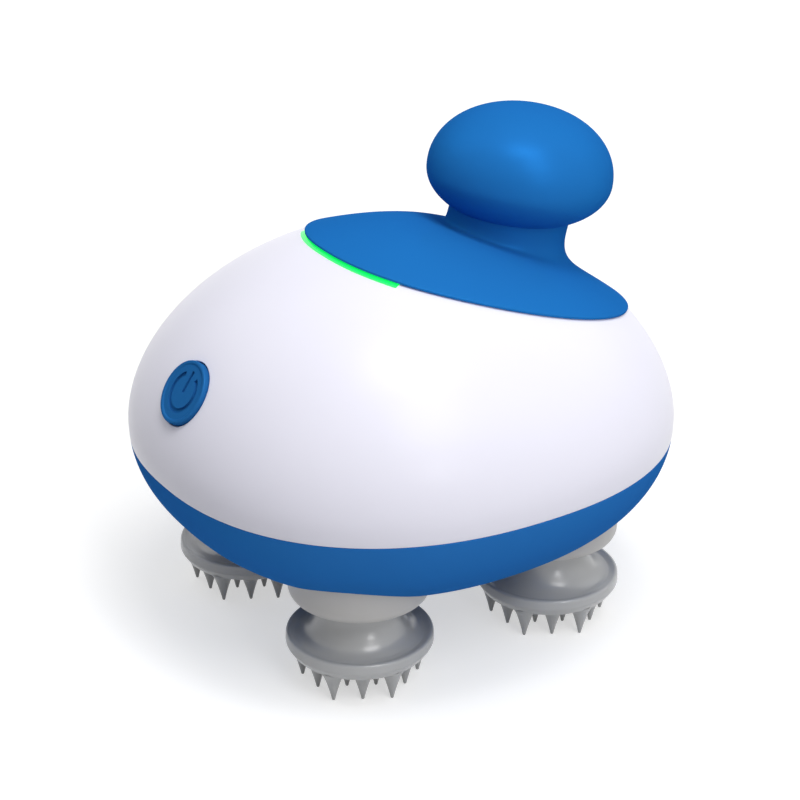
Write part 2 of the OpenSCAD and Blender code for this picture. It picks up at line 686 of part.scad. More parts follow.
module head_gear(i) color("white") at(head_axes[i]) difference() {
  union() {
    translate([0, 0, gear_z]) teeth_ring(head_teeth, head_mod, gear_t,
      mesh_turn(head_dir(i), sun_teeth, 0, head_teeth));
    rod(5, gear_t, gear_z);
  }
  rod(shaft_r, 20, gear_z - 1);
  for (k = [0 : 4]) rotate(72 * k) translate([9.4, 0, 0]) rod(2.6, 20, gear_z - 1);
}

upper_shell();
lower_housing();
housing_gasket();
top_cap();
handle_knob();
knob_screw();
light_guide();
light_board();
green_leds();
power_button();
switch_plunger();
tact_switch();
button_board();
gear_deck();
motor_plate();
sun_axle();
reduction_axle();
sun_gear();
reduction_gear();
motor_pinion();
drive_motor();
battery_cradle();
battery_cell();
main_board();
charge_socket();
port_plug();
gearbox_screws();
housing_screws();
board_screws();
motor_screws();
shaft_bushes();
shaft_seals();
for (i = [0 : 3]) {
  head_collar(head_axes[i]);
  massage_head(head_axes[i]);
  head_carrier(head_axes[i]);
  output_shaft(head_axes[i]);
  head_gear(i);
}
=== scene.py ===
import bpy
import bmesh
import json
import math
from mathutils import Matrix, Vector


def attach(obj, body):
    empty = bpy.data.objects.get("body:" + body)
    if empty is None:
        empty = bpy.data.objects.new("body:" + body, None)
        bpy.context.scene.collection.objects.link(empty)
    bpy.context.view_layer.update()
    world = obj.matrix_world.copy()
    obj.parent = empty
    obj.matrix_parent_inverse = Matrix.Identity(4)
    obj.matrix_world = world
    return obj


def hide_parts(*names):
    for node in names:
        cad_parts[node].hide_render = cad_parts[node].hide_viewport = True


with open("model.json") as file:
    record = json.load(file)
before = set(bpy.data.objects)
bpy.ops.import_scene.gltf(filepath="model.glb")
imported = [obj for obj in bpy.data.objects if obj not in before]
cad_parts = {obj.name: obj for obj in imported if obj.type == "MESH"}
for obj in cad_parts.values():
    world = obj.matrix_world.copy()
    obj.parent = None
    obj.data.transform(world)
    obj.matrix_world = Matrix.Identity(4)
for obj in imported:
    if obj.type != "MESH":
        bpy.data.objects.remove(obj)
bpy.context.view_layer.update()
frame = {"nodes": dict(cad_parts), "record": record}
scene = bpy.context.scene
scene.view_settings.view_transform = "Standard"

# ---------------------------------------------------------------- camera
# A long lens looks down on the massager from the front and one side, so that
# the button, the light strip and three of the four heads show.
camera = bpy.data.objects.new("camera", bpy.data.cameras.new("camera"))
scene.collection.objects.link(camera)
camera.location = (-0.2400, -0.3797, 0.2616)
camera.rotation_mode = "QUATERNION"
camera.rotation_quaternion = Vector((0.4832, 0.7656, -0.4248)).to_track_quat("-Z", "Y")
camera.data.sensor_width = 36
camera.data.lens = 96.3
camera.data.dof.use_dof = False
scene.camera = camera

# ---------------------------------------------------------------- white upper shell
# The dome is one injection moulding in glossy white ABS, screwed to the blue housing
# from below. It has a slanting mouth for the cap, a round hole for the power button,
# a slot for the light strip and a hole for the charging port.
MM = 0.001
# The body in mm: its plan, its widest height, and how tall and how square each half is
BODY_LEN, BODY_WID, WAIST_Z = 124, 116.6, 48.8
DOME_H, BELLY_H = 45, 33.9
DOME_EXP, BELLY_EXP, PLAN_EXP = 1.82, 2.19, 2.26
SPLIT_Z, WALL, EDGE_R = 45.5, 2.4, 0.3
# The slanting plane that the cap sits on, and how far along it the neck stands
SEAM_Z, SEAM_TILT, NECK_U = 85.7, math.radians(16.2), 26.7
# The holes: their places, sizes, plays, and the round-off of their edges
BUTTON_Z, BUTTON_TILT, BUTTON_R = 66.5, math.radians(34.8), 7.3
BUTTON_PLAY, BUTTON_EASE = 0.2, 0.35
PORT_Z, PORT_R, PORT_EASE = 60.5, 3.6, 0.3
LIGHT_H, LIGHT_DEPTH, LIGHT_HALF, LIGHT_PLAY = 0.9, 5, 26, 0.1
# The mesh: columns round the body, rows up the wall, and how close counts as on the skin
COLUMNS, SHELL_ROWS, INNER_ROWS = 288, 56, 24
ON_SKIN = 2e-4


def signed_power(value, power):
    """Power of the value's size, with the value's own sign."""
    return math.copysign(abs(value) ** power, value)


def half_shape(up, inset=0):
    """Squareness and height of the dome, or of the belly."""
    return (DOME_EXP, DOME_H - inset) if up else (BELLY_EXP, BELLY_H - inset)


def body_point(t, s, inset=0):
    """Point of the body's skin at angle t of its plan and angle s of its side profile."""
    e, h = half_shape(s >= 0, inset)
    r = max(0, math.cos(s)) ** (2 / e)
    return Vector((
        (BODY_LEN / 2 - inset) * r * signed_power(math.cos(t), 2 / PLAN_EXP),
        (BODY_WID / 2 - inset) * r * signed_power(math.sin(t), 2 / PLAN_EXP),
        WAIST_Z + h * signed_power(math.sin(s), 2 / e)))


def profile_angle(z, inset=0):
    """Angle of the side profile at height z."""
    e, h = half_shape(z >= WAIST_Z, inset)
    return math.copysign(math.asin(min(1, abs(z - WAIST_Z) / h) ** (e / 2)), z - WAIST_Z)


def skin_value(p):
    """Below 0 inside the body's skin, above 0 outside it."""
    e, h = half_shape(p.z >= WAIST_Z)
    along = (abs(p.x) / (BODY_LEN / 2)) ** PLAN_EXP
    across = (abs(p.y) / (BODY_WID / 2)) ** PLAN_EXP
    return (along + across) ** (e / PLAN_EXP) + (abs(p.z - WAIST_Z) / h) ** e - 1


def skin_normal(p):
    """Direction in which the skin faces at p."""
    d = 0.01
    steps = Vector((d, 0, 0)), Vector((0, d, 0)), Vector((0, 0, d))
    return Vector([skin_value(p + step) - skin_value(p - step) for step in steps]).normalized()


def skin_or_none(p):
    """The skin's own direction at a point on the skin, and None at any other point."""
    return skin_normal(p) if abs(skin_value(p)) < ON_SKIN else None


def crossing(low, high, past, halvings=30):
    """Value between low and high above which past(value) is true."""
    for _ in range(halvings):
        middle = (low + high) / 2
        if past(middle):
            high = middle
        else:
            low = middle
    return low


def over_seam(p):
    """Height over the slanting seam plane."""
    return (p.z - SEAM_Z) * math.cos(SEAM_TILT) + p.x * math.sin(SEAM_TILT)


def seam_angle(t, inset=0, h=0):
    """Angle of the side profile at which the skin is h over the seam plane."""
    return crossing(0, math.radians(89.5), lambda s: over_seam(body_point(t, s, inset)) >= h)


def bend(a, corner, b, k):
    """Point k of the way round a corner that is rounded from a to b."""
    return a * (1 - k) ** 2 + corner * 2 * k * (1 - k) + b * k * k


def rounded_edge(outer, corner, inner, radius, steps=4):
    """Rows of points that round a ring's edge, from the outer face to the inner."""
    ends = [c + (i - c).normalized() * radius for c, i in zip(corner, inner)]
    return [[bend(o, c, e, k / steps) for o, c, e in zip(outer, corner, ends)]
            for k in range(1, steps + 1)]


def ring_mesh(name, rings, closed=False, cap_ends=False):
    """Mesh through rings of points in mm; closed joins the last ring to the first."""
    n = len(rings[0])
    verts = [p * MM for ring in rings for p in ring]
    faces = []
    for j in range(len(rings) if closed else len(rings) - 1):
        a, b = j * n, (j + 1) % len(rings) * n
        faces += [(a + i, a + (i + 1) % n, b + (i + 1) % n, b + i) for i in range(n)]
    if cap_ends:
        faces.append(tuple(range(n - 1, -1, -1)))
        faces.append(tuple((len(rings) - 1) * n + i for i in range(n)))
    mesh = bpy.data.meshes.new(name)
    mesh.from_pydata(verts, [], faces)
    piece = bpy.data.objects.new(name, mesh)
    scene.collection.objects.link(piece)
    outward(piece)
    return piece


def outward(piece):
    """Turns every face of the piece outwards."""
    shape = bmesh.new()
    shape.from_mesh(piece.data)
    bmesh.ops.recalc_face_normals(shape, faces=shape.faces)
    shape.to_mesh(piece.data)
    shape.free()


def cut(piece, cutter):
    """Takes the cutter's solid out of the piece, and removes the cutter."""
    hole = piece.modifiers.new("cut", "BOOLEAN")
    hole.operation = "DIFFERENCE"
    hole.solver = "EXACT"
    hole.object = cutter
    done = bpy.data.meshes.new_from_object(
        piece.evaluated_get(bpy.context.evaluated_depsgraph_get()))
    piece.modifiers.clear()
    piece.data = done
    bpy.data.objects.remove(cutter)


def smooth(piece, angle, normal=None, agreement=0.9):
    """Smooth faces with sharp edges above the angle.

    A corner takes the direction that normal gives at its place, where its face agrees with it.
    """
    mesh = piece.data
    mesh.polygons.foreach_set("use_smooth", [True] * len(mesh.polygons))
    mesh.set_sharp_from_angle(angle=math.radians(angle))
    if normal:
        found = []
        for face in mesh.polygons:
            for corner in face.vertices:
                true = normal(mesh.vertices[corner].co / MM)
                agrees = true and true.dot(face.normal) > agreement
                found.append(true if agrees else Vector((0, 0, 0)))
        mesh.normals_split_custom_set(found)


def turns(count=COLUMNS):
    """Angles of one full turn in equal steps."""
    return [math.tau * i / count for i in range(count)]


def circle(radius, sides):
    """Points (x, y) round a circle."""
    return [(radius * math.cos(a), radius * math.sin(a)) for a in turns(sides)]


def skin_rows(low, tops, rows, inset=0):
    """Rings of the skin from profile angle low up to the top angle of each column."""
    return [[body_point(t, low + (top - low) * j / rows, inset) for t, top in zip(turns(), tops)]
            for j in range(rows + 1)]


def skin_height(place, x, y):
    """Height of the body's skin over the place's own plane."""
    return crossing(-6, 6, lambda z: skin_value(place @ Vector((x, y, z))) > 0)


def flat_ring(place, radius, z, sides):
    """Ring round the place's own axis, at height z along it."""
    return [place @ Vector((x, y, z)) for x, y in circle(radius, sides)]


def skin_ring(place, radius, drop, sides):
    """Ring round the place's own axis, drop under the body's skin."""
    return [place @ Vector((x, y, skin_height(place, x, y) - drop))
            for x, y in circle(radius, sides)]


def eased_drum(name, place, radius, ease, depth=12, sides=96):
    """Drum with a flared mouth, for a hole whose edge at the skin is rounded off."""
    flare = ((0, 1), (0.1, 0.55), (0.3, 0.2), (0.6, 0.03), (1, -0.02), (1, -4))
    mouth_rings = [skin_ring(place, radius + out * ease, drop * ease, sides) for out, drop in flare]
    return ring_mesh(name, [flat_ring(place, radius, -depth, sides)] + mouth_rings, cap_ends=True)


def seam_point(rho, phi, h):
    """Place rho from the neck's axis, in direction phi, h over the seam plane."""
    u = NECK_U + rho * math.cos(phi)
    return Vector((u * math.cos(SEAM_TILT) + h * math.sin(SEAM_TILT), rho * math.sin(phi),
                   SEAM_Z - u * math.sin(SEAM_TILT) + h * math.cos(SEAM_TILT)))


def reach(phi, h=0):
    """Distance from the neck's axis to the body's skin, h over the seam plane."""
    return crossing(0, 90, lambda rho: skin_value(seam_point(rho, phi, h)) > 0)


def skin_strip(name, half, out, inward, low, high, arcs=72):
    """Strip along the skin under the seam, half degrees to each side of the front."""
    rings = []
    for k in range(arcs + 1):
        phi = math.pi + math.radians(half) * (2 * k / arcs - 1)
        rings.append([seam_point(reach(phi, h) + d, phi, h)
                      for h, d in ((low, -inward), (low, out), (high, out), (high, -inward))])
    return ring_mesh(name, rings, cap_ends=True)


def skin_x(z):
    """Distance from the body's middle to its skin at the front and back, at height z."""
    return BODY_LEN / 2 * (1 - ((z - WAIST_Z) / DOME_H) ** DOME_EXP) ** (1 / DOME_EXP)


def srgb(r, g, b):
    """Linear colour from red, green and blue of 0 to 255."""
    return tuple((c / 255 / 12.92) if c <= 10 else ((c / 255 + 0.055) / 1.055) ** 2.4
                 for c in (r, g, b)) + (1,)


def moulded(name, colour, rough=0.35, mottle=0.03, grain=0.15, grain_size=0.0006, patchy=0.15,
            metal=0.0, coat=0.0, specular=0.5, glow=0.0, tint=(1, 1, 1, 1)):
    """Moulded or turned material: faint mottle, and fine grain in its bump and gloss."""
    mottle_size, patch_size, noise_low, noise_high = 0.02, 0.004, 0.3, 0.7
    m = bpy.data.materials.new(name)
    m.use_nodes = True
    tree = m.node_tree
    shader = tree.nodes["Principled BSDF"]
    place = tree.nodes.new("ShaderNodeTexCoord")

    def noise(size, detail):
        n = tree.nodes.new("ShaderNodeTexNoise")
        n.inputs["Scale"].default_value = 1 / size
        n.inputs["Detail"].default_value = detail
        tree.links.new(place.outputs["Object"], n.inputs["Vector"])
        return n.outputs["Fac"]

    def spread(value, low, high):
        n = tree.nodes.new("ShaderNodeMapRange")
        n.inputs["From Min"].default_value = noise_low
        n.inputs["From Max"].default_value = noise_high
        n.inputs["To Min"].default_value = low
        n.inputs["To Max"].default_value = high
        tree.links.new(value, n.inputs["Value"])
        return n.outputs["Result"]

    tone = tree.nodes.new("ShaderNodeHueSaturation")
    tone.inputs["Color"].default_value = colour
    tree.links.new(spread(noise(mottle_size, 3), 1 - mottle, 1 + mottle), tone.inputs["Value"])
    tree.links.new(tone.outputs["Color"], shader.inputs["Base Color"])
    tree.links.new(spread(noise(patch_size, 4), rough * (1 - patchy), rough * (1 + patchy)),
                   shader.inputs["Roughness"])
    bump = tree.nodes.new("ShaderNodeBump")
    bump.inputs["Strength"].default_value = grain
    bump.inputs["Distance"].default_value = grain_size / 20
    tree.links.new(noise(grain_size, 2), bump.inputs["Height"])
    tree.links.new(bump.outputs["Normal"], shader.inputs["Normal"])
    shader.inputs["Metallic"].default_value = metal
    shader.inputs["Coat Weight"].default_value = coat
    shader.inputs["Coat Roughness"].default_value = 0.12
    shader.inputs["Specular IOR Level"].default_value = specular
    shader.inputs["Specular Tint"].default_value = tint
    if glow:
        tree.links.new(tone.outputs["Color"], shader.inputs["Emission Color"])
        shader.inputs["Emission Strength"].default_value = glow
    return m


def finish_piece(piece, material, body, slot, *stands_for):
    """Gives the piece its material and body, and hides the CAD nodes that it stands for; the slot
    is not used.
    """
    piece.data.materials.clear()
    piece.data.materials.append(material)
    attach(piece, body)
    if stands_for:
        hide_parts(*stands_for)


button_place = Matrix.Translation((-skin_x(BUTTON_Z), 0, BUTTON_Z)) @ Matrix.Rotation(
    BUTTON_TILT - math.pi / 2, 4, "Y")
port_place = Matrix.Translation((skin_x(PORT_Z), 0, PORT_Z)) @ Matrix.Rotation(math.pi / 2, 4, "Y")

tops = [seam_angle(t, 0, -EDGE_R) for t in turns()]
tops_in = [seam_angle(t, WALL) for t in turns()]
foot_angle_in = profile_angle(SPLIT_Z, WALL)
outer = skin_rows(profile_angle(SPLIT_Z + EDGE_R), tops, SHELL_ROWS)
inside = skin_rows(foot_angle_in, tops_in, INNER_ROWS, WALL)
mouth = [body_point(t, seam_angle(t)) for t in turns()]
mouth_in = [body_point(t, top, WALL) for t, top in zip(turns(), tops_in)]
foot = [body_point(t, profile_angle(SPLIT_Z)) for t in turns()]
foot_in = [body_point(t, foot_angle_in, WALL) for t in turns()]
shell = ring_mesh("white_shell", outer + rounded_edge(outer[-1], mouth, mouth_in, EDGE_R)
                  + inside[::-1] + rounded_edge(outer[0], foot, foot_in, EDGE_R)[::-1], closed=True)
cut(shell, eased_drum("button_hole", button_place, BUTTON_R + BUTTON_PLAY, BUTTON_EASE))
cut(shell, eased_drum("port_hole", port_place, PORT_R, PORT_EASE))
cut(shell, skin_strip("light_hole", LIGHT_HALF + 2 * LIGHT_PLAY, out=1.5,
                      inward=LIGHT_DEPTH + LIGHT_PLAY, low=-LIGHT_H - LIGHT_PLAY, high=0.8))
smooth(shell, 35, skin_or_none)
white = moulded("white_gloss", srgb(243, 242, 255), rough=0.3, mottle=0.004, grain=0.02,
                grain_size=0.0004, patchy=0.02, specular=0.25)
finish_piece(shell, white, "housing", "white_shell", "upper_shell")

# ---------------------------------------------------------------- blue lower housing
# The lower half is a blue ABS moulding that carries the gear deck on its bosses.
# Four round openings in its flat underside let the head collars through, and four
# deep holes take the screws that hold the two halves together.
BASE_Z, BELLY_ROWS, BELLY_IN_ROWS = 22.5, 32, 20
# The square that the heads stand in, and the openings for them and for the screws
HEADS_X, HEAD_PITCH, HEAD_R, HEAD_PLAY = -1.5, 51.62, 16, 0.1
SCREWS_X, SCREW_Y, SCREW_HOLE_R = (-44, 52), 10, 2.8
heads = [(HEADS_X + sx * HEAD_PITCH / 2, sy * HEAD_PITCH / 2) for sx in (-1, 1) for sy in (-1, 1)]
belly = skin_rows(profile_angle(BASE_Z), [profile_angle(SPLIT_Z - EDGE_R)] * COLUMNS, BELLY_ROWS)
belly_in = skin_rows(profile_angle(BASE_Z + WALL, WALL), [profile_angle(SPLIT_Z, WALL)] * COLUMNS,
                     BELLY_IN_ROWS, WALL)
rim = [body_point(t, profile_angle(SPLIT_Z)) for t in turns()]


def towards(ring, share):
    """The ring drawn in towards the middle of its own plane."""
    middle = sum(ring, Vector()) / len(ring)
    return [middle + (p - middle) * share for p in ring]


def drill(piece, x, y, radius, sides):
    """Upright round hole through the floor of the piece."""
    place, under_floor, over_floor = Matrix.Translation((x, y, 0)), 10, 34
    cut(piece, ring_mesh("drill", [flat_ring(place, radius, z, sides)
                                   for z in (under_floor, over_floor)], cap_ends=True))


shares = (0.97, 0.6, 0.2, 0.002)
housing = ring_mesh(
    "blue_housing",
    [towards(belly[0], k) for k in shares[::-1]] + belly
    + rounded_edge(belly[-1], rim, belly_in[-1], EDGE_R) + belly_in[::-1]
    + [towards(belly_in[0], k) for k in shares], cap_ends=True)
for x, y in heads:
    drill(housing, x, y, HEAD_R + HEAD_PLAY, sides=96)
for x in SCREWS_X:
    for y in (-SCREW_Y, SCREW_Y):
        drill(housing, x, y, SCREW_HOLE_R, sides=48)
smooth(housing, 35, skin_or_none)
blue_dark = moulded("housing_blue", srgb(44, 116, 192), rough=0.35, mottle=0.012, grain=0.05,
                    grain_size=0.0005, patchy=0.05, metal=0.08, specular=0, tint=srgb(44, 116, 192))
finish_piece(housing, blue_dark, "housing", "blue_housing", "lower_housing")

# ---------------------------------------------------------------- blue cap
# The cap closes the mouth of the dome and sweeps up into the neck that carries the
# knob. It is a satin blue ABS moulding with a lip that drops inside the shell.
# The neck over the seam plane: radius, start of the sweep, top, roof and screw hole
NECK_R, NECK_H, NECK_END, NECK_ROOF, KNOB_SCREW_R = 13.9, 12.9, 18.5, 2.5, 1.7
NECK_STEP, NECK_IN_LOW, NECK_TOP_R = 2, 14, 8
# The rim: overhang, extra at the front point, height, rounding, draft, and ledge below it
RIM_OUT, RIM_POINT, RIM_H, RIM_EDGE, RIM_DRAFT, RIM_LEDGE = 0.8, 0.25, 0.5, 0.22, 0.15, 4
# The sweep's fall, run and slope: each at the back, and what it gains towards the front
FALL, RUN, SLOPE = (8.5, 1.9), (11, 25), (21.5, 4.3)
# How far the sweep's inner side moves in at its four curve points, in shares of the wall
NECK_IN, FALL_IN, RUN_IN, EDGE_IN = 0.5, 0.7, 0.9, 1.5
SWEEP_ROWS, SWEEP_END, UNDER_ROWS = 72, 0.995, 24


def rim_out(phi):
    """Overhang of the cap's rim, which is longest at its front point."""
    return RIM_OUT + RIM_POINT * ((1 - math.cos(phi)) / 2) ** 8


def sweep_point(phi, k, inset=0):
    """Point on the sweep from the neck, k = 0, to the cap's edge, k = 1, in the seam's frame."""
    front = (1 - math.cos(phi)) / 2
    fall, run, slope = (back + gain * front for back, gain in (FALL, RUN, SLOPE))
    slope = math.radians(slope)
    edge = edges[phi] + (-EDGE_IN * inset if inset else rim_out(phi))
    lift = 0 if inset else RIM_H
    r = NECK_R - inset
    p = ((r, NECK_H - NECK_IN * inset), (r, NECK_H - fall - FALL_IN * inset),
         (edge - run * math.cos(slope), lift + run * math.sin(slope) - RUN_IN * inset),
         (edge, lift))
    q = 1 - k
    rho, h = (q ** 3 * a + 3 * q * q * k * b + 3 * q * k * k * c + k ** 3 * d
              for a, b, c, d in zip(*p))
    return rho, h


def sweep_ring(k, inset=0):
    """Ring of the sweep, kept over the seam plane."""
    points = ((phi, sweep_point(phi, k, inset)) for phi in turns())
    return [seam_point(rho, phi, max(0, h)) for phi, (rho, h) in points]


def seam_ring(rho, h):
    """Round ring on the neck's axis, h over the seam plane."""
    return [seam_point(rho, phi, h) for phi in turns()]


edges = {phi: reach(phi) for phi in turns()}
sweep = [sweep_ring(j / SWEEP_ROWS * SWEEP_END) for j in range(SWEEP_ROWS + 1)]
under = [sweep_ring(j / UNDER_ROWS, WALL) for j in range(UNDER_ROWS + 1)]
neck = [seam_ring(NECK_R, NECK_END - NECK_STEP * j) for j in range(3)]
neck_in = [seam_ring(NECK_R - WALL, h) for h in (NECK_END - NECK_ROOF, NECK_IN_LOW)]
neck_top = [seam_ring(r, NECK_END) for r in (KNOB_SCREW_R, NECK_TOP_R)]
brim_top = [seam_point(edges[phi] + rim_out(phi), phi, RIM_H) for phi in turns()]
brim_low = [seam_point(edges[phi] + rim_out(phi) - RIM_DRAFT, phi, 0) for phi in turns()]
brim_in = [seam_point(edges[phi] - RIM_LEDGE, phi, 0) for phi in turns()]
cap = ring_mesh("blue_cap", neck_top + neck + sweep
                + rounded_edge(sweep[-1], brim_top, brim_low, RIM_EDGE) + [brim_low, brim_in]
                + under[::-1] + neck_in[::-1]
                + [seam_ring(KNOB_SCREW_R, NECK_END - NECK_ROOF)], closed=True)
smooth(cap, 40)
blue = moulded("cap_blue", srgb(33, 114, 189), rough=0.36, mottle=0.012, grain=0.05,
               grain_size=0.0004, patchy=0.05, metal=0.1, specular=0, tint=srgb(33, 114, 189))
finish_piece(cap, blue, "housing", "blue_cap", "top_cap")

# ---------------------------------------------------------------- knob
# The knob is the handle, held between two fingers: a squashed ball, moulded in the
# same blue plastic, pushed over the neck and held by a screw from inside.
KNOB_H, KNOB_R, KNOB_TOP, KNOB_LOW = 23.2, 21.5, 15.7, 11.8
KNOB_TILT, KNOB_EXP, KNOB_ROWS = math.radians(6.6), 2.1, 96
knob_place = Matrix.Translation(seam_point(0, 0, KNOB_H)) @ Matrix.Rotation(KNOB_TILT, 4, "Y")


def lathe(name, outline, place=Matrix(), steps=128):
    """Round solid from an outline of (radius, height), with a flat face at each end."""
    smallest = 1e-4
    rings = [flat_ring(place, max(r, smallest), z, steps) for r, z in outline]
    return ring_mesh(name, rings, cap_ends=True)


knob_outline = []
for k in range(KNOB_ROWS + 1):
    a = -math.pi / 2 + math.pi * k / KNOB_ROWS
    h = KNOB_TOP if a > 0 else KNOB_LOW
    knob_outline.append((KNOB_R * max(0, math.cos(a)) ** (2 / KNOB_EXP),
                         h * signed_power(math.sin(a), 2 / KNOB_EXP)))
knob = lathe("blue_knob", knob_outline, knob_place, steps=192)
smooth(knob, 60)
finish_piece(knob, blue, "housing", "blue_knob", "handle_knob")

# ---------------------------------------------------------------- light strip
# A clear green light guide is snapped into the slot under the cap's front edge.
# Small lamps on a board behind it light it along its whole length.
strip = skin_strip("green_light_strip", LIGHT_HALF, out=0.05, inward=LIGHT_DEPTH, low=-LIGHT_H,
                   high=-0.02)
smooth(strip, 30)
lit = moulded("lit_green", srgb(20, 246, 96), rough=0.25, mottle=0.02, grain=0.03, glow=0.75)
finish_piece(strip, lit, "housing", "light_guide", "light_guide")

# ---------------------------------------------------------------- power button
# The power button is a blue moulded key in the round hole at the front. It has a
# raised rim and a power sign sunk into its face, and a plunger behind it.
# The key: height over the skin, dish, rim, start of the dish, and radius of its flat faces
PROUD, DISH, KEY_RIM, DISH_IN, FLAT_R = 0.7, 0.25, 0.7, 1, 5.6
FLANGE_Z, FLANGE_H, FLANGE_OUT = -WALL - 3.05, 1, 1.4
# The sign: an arc that is open at the top, and a bar in its gap
SIGN_DEPTH, ARC_IN, ARC_OUT, ARC_GAP = 0.5, 3.75, 4.85, math.radians(30)
BAR_FROM, BAR_TO, BAR_HALF, ARC_STEPS = -0.1, 5, 0.45, 60


def rounded(corners, steps=5):
    """Outline through corners of (radius, height, rounding)."""
    out = []
    for i, (x, z, r) in enumerate(corners):
        p = Vector((x, z))
        if not r:
            out.append((x, z))
            continue
        a, b = Vector(corners[i - 1][:2]) - p, Vector(corners[(i + 1) % len(corners)][:2]) - p
        d = min(r / math.tan(a.angle(b) / 2), a.length / 2, b.length / 2)
        for k in range(steps + 1):
            q = bend(p + a.normalized() * d, p, p + b.normalized() * d, k / steps)
            out.append((q.x, q.y))
    return out


key = lathe("power_button_key", rounded([
    (FLAT_R, FLANGE_Z - FLANGE_H, 0), (BUTTON_R + FLANGE_OUT, FLANGE_Z - FLANGE_H, 0.1),
    (BUTTON_R + FLANGE_OUT, FLANGE_Z, 0.1), (BUTTON_R, FLANGE_Z, 0.1), (BUTTON_R, PROUD, 0.35),
    (BUTTON_R - KEY_RIM, PROUD, 0.3), (BUTTON_R - DISH_IN, PROUD - DISH, 0.3),
    (FLAT_R, PROUD - DISH, 0)]), button_place, steps=144)


def plate(name, outline, place, low, high):
    """Flat plate with the given outline, which a sign is cut with."""
    return ring_mesh(name, [[place @ Vector((x, y, z)) for x, y in outline] for z in (low, high)],
                     cap_ends=True)


arc = [ARC_GAP + (math.tau - 2 * ARC_GAP) * k / ARC_STEPS for k in range(ARC_STEPS + 1)]
ring_sign = ([(ARC_OUT * math.cos(a), ARC_OUT * math.sin(a)) for a in arc]
             + [(ARC_IN * math.cos(a), ARC_IN * math.sin(a)) for a in arc[::-1]])
bar_sign = [(BAR_FROM, -BAR_HALF), (BAR_TO, -BAR_HALF), (BAR_TO, BAR_HALF), (BAR_FROM, BAR_HALF)]
for sign in (ring_sign, bar_sign):
    cut(key, plate("sign", sign, button_place, PROUD - DISH - SIGN_DEPTH, PROUD + 1))
button_axis = button_place.to_3x3() @ Vector((0, 0, 1))


def flat_face(p):
    """The key's face and the floor of its sign are flat, and lie square to its axis."""
    height = (button_place.inverted() @ p).z
    return button_axis if -1 < height < PROUD - DISH + 1e-3 else None


smooth(key, 35, flat_face)
key_blue = moulded("button_blue", srgb(38, 105, 169), rough=0.3, mottle=0.02, grain=0.05,
                   grain_size=0.0004, patchy=0.05, metal=0.12, specular=0, tint=srgb(38, 105, 169))
finish_piece(key, key_blue, "button", "blue_button", "power_button")

# ---------------------------------------------------------------- head collars
# Each head turns below a grey collar, a moulded ABS cup that is clamped by its
# flange between the housing and the gear deck and shields the shaft seal.
BOSS_TOP, DECK_Z, FLANGE_R = 33, 34.6, 17.8
BORE_R, CUP_R, LIP_R, SEAL_R, SEAL_LIP_R = 5.6, 14.2, 10.4, 8.6, 7.2
collar_outline = rounded([
    (BORE_R, 26, 0), (CUP_R, 26, 0.3), (CUP_R, 24.4, 1), (12.8, 22.8, 0.5), (LIP_R, 22.6, 0.6),
    (9.7, 21.9, 0.4), (LIP_R, 21.2, 0.6), (HEAD_R, 21.2, 3), (HEAD_R, BOSS_TOP, 0),
    (FLANGE_R, BOSS_TOP, 0.2), (FLANGE_R, DECK_Z, 0.2), (CUP_R, DECK_Z, 0.2), (CUP_R, 27.6, 0.3),
    (SEAL_R, 27.6, 0.2), (SEAL_R, 29.8, 0.1), (SEAL_LIP_R, 29.8, 0.1), (SEAL_LIP_R, 26.6, 0.2),
    (BORE_R, 26.6, 0)], steps=8)
grey = moulded("collar_grey", srgb(199, 197, 195), rough=0.4, mottle=0.02, grain=0.15,
               grain_size=0.0007)
for i, (x, y) in enumerate(heads):
    collar = lathe(f"collar_{i + 1}", collar_outline, Matrix.Translation((x, y, 0)), steps=144)
    smooth(collar, 50)
    finish_piece(collar, grey, "housing", "collar_grey", f"head_collar_{i + 1}")

# ---------------------------------------------------------------- massage heads
# Each head is one silicone moulding: a hollow stem that pushes over its carrier, a
# disc with a rolled rim, and nineteen blunt prongs in a hexagon underneath.
# The prongs, the disc with its dish, and the stem; the prong tips are at height 0
PRONG_H, PRONG_PITCH, PRONG_R = 7.4, 6.5, 2.8
DISC_R, DISH_R, DISH_Z, HEAD_TURN = 16.5, 14.6, 11.25, math.radians(1.8)
STEM_R, STEM_TOP, STEM_BORE_R, STEM_FLOOR = 8.6, 24.2, 6.2, 12


def through(points, steps=6):
    """Smooth outline through the points."""
    last = len(points) - 1
    out = []
    for i in range(last):
        p0, p1, p2, p3 = (Vector(points[min(max(j, 0), last)]) for j in range(i - 1, i + 3))
        for k in range(steps):
            u = k / steps
            q = 0.5 * (2 * p1 + (p2 - p0) * u + (2 * p0 - 5 * p1 + 4 * p2 - p3) * u * u
                       + (3 * p1 - p0 - 3 * p2 + p3) * u ** 3)
            out.append((q.x, q.y))
    return out + [tuple(points[-1])]


